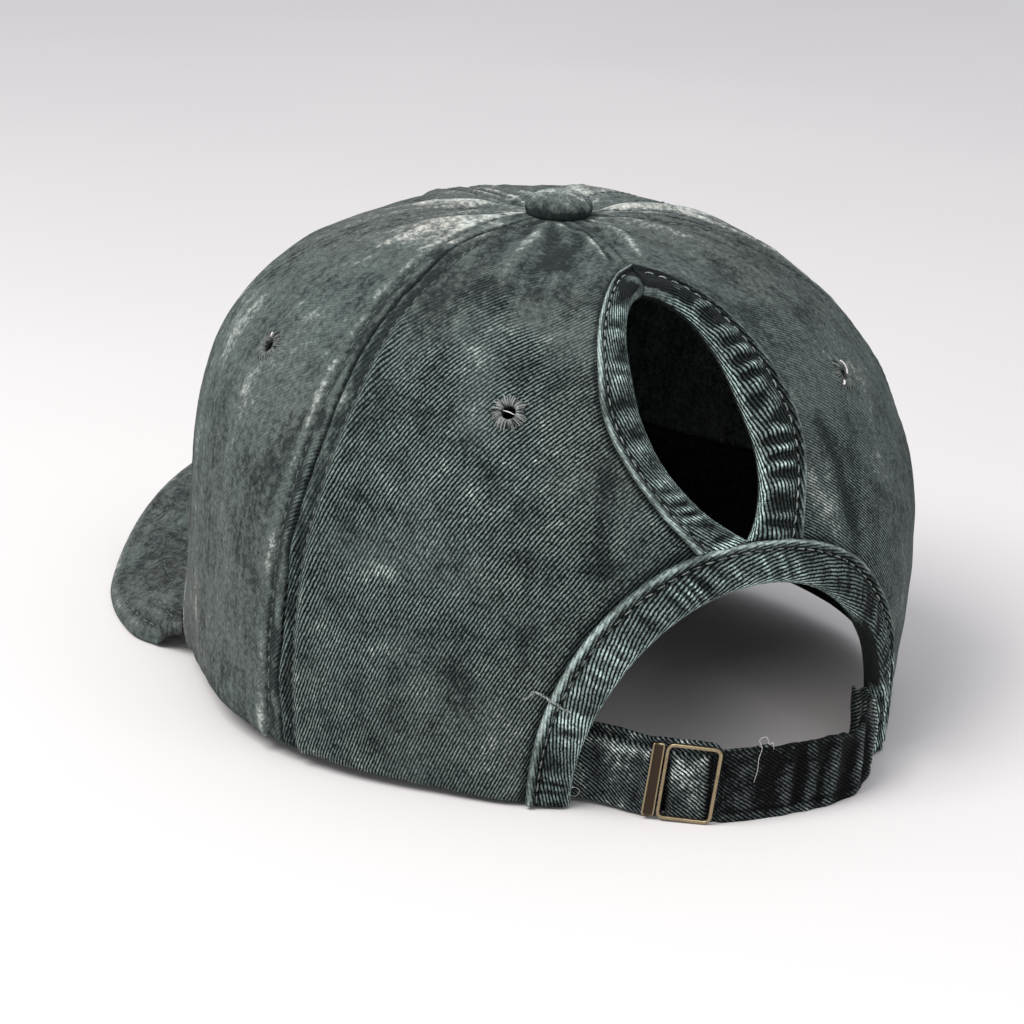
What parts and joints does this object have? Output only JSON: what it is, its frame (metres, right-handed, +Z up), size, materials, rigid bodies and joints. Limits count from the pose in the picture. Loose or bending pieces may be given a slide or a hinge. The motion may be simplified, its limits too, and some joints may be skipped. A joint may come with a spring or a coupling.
{
  "type": "ponytail baseball cap",
  "caption": "Soft baseball cap in washed cotton twill with a curved brim, a bound ponytail opening above a bound rear arch, sewn eyelets, a covered button and a strap with a slide buckle.",
  "frame": {"origin": "middle of the overall box, at the table", "axes": "+Z up, the brim points to -Y, the rear with its strap to +Y, the wearer's left to +X"},
  "size_m": [0.1692, 0.2492, 0.1167],
  "materials": {
    "crown_twill": "washed cotton twill, charcoal green with pale worn ridges",
    "binding_twill": "folded washed cotton twill with worn edges",
    "eyelet_thread": "closely wound embroidery thread",
    "sweatband_cotton": "plain dark cotton band",
    "buckle_brass": "antique brass, bright on the edges"
  },
  "bodies": {
    "root": {"panel_back_left": "crown_twill", "panel_back_right": "crown_twill", "panel_side_left": "crown_twill", "panel_side_right": "crown_twill", "panel_front_left": "crown_twill", "panel_front_right": "crown_twill", "top_button": "crown_twill", "brim": "crown_twill", "arch_binding": "binding_twill", "ponytail_binding_left": "binding_twill", "ponytail_binding_right": "binding_twill", "strap_left": "binding_twill", "strap_right": "binding_twill", "eyelet_back_left": "eyelet_thread", "eyelet_back_right": "eyelet_thread", "eyelet_side_left": "eyelet_thread", "eyelet_side_right": "eyelet_thread", "eyelet_front_left": "eyelet_thread", "eyelet_front_right": "eyelet_thread", "sweatband": "sweatband_cotton", "buckle_frame": "buckle_brass", "buckle_clamp": "buckle_brass"}
  },
  "joints": []
}
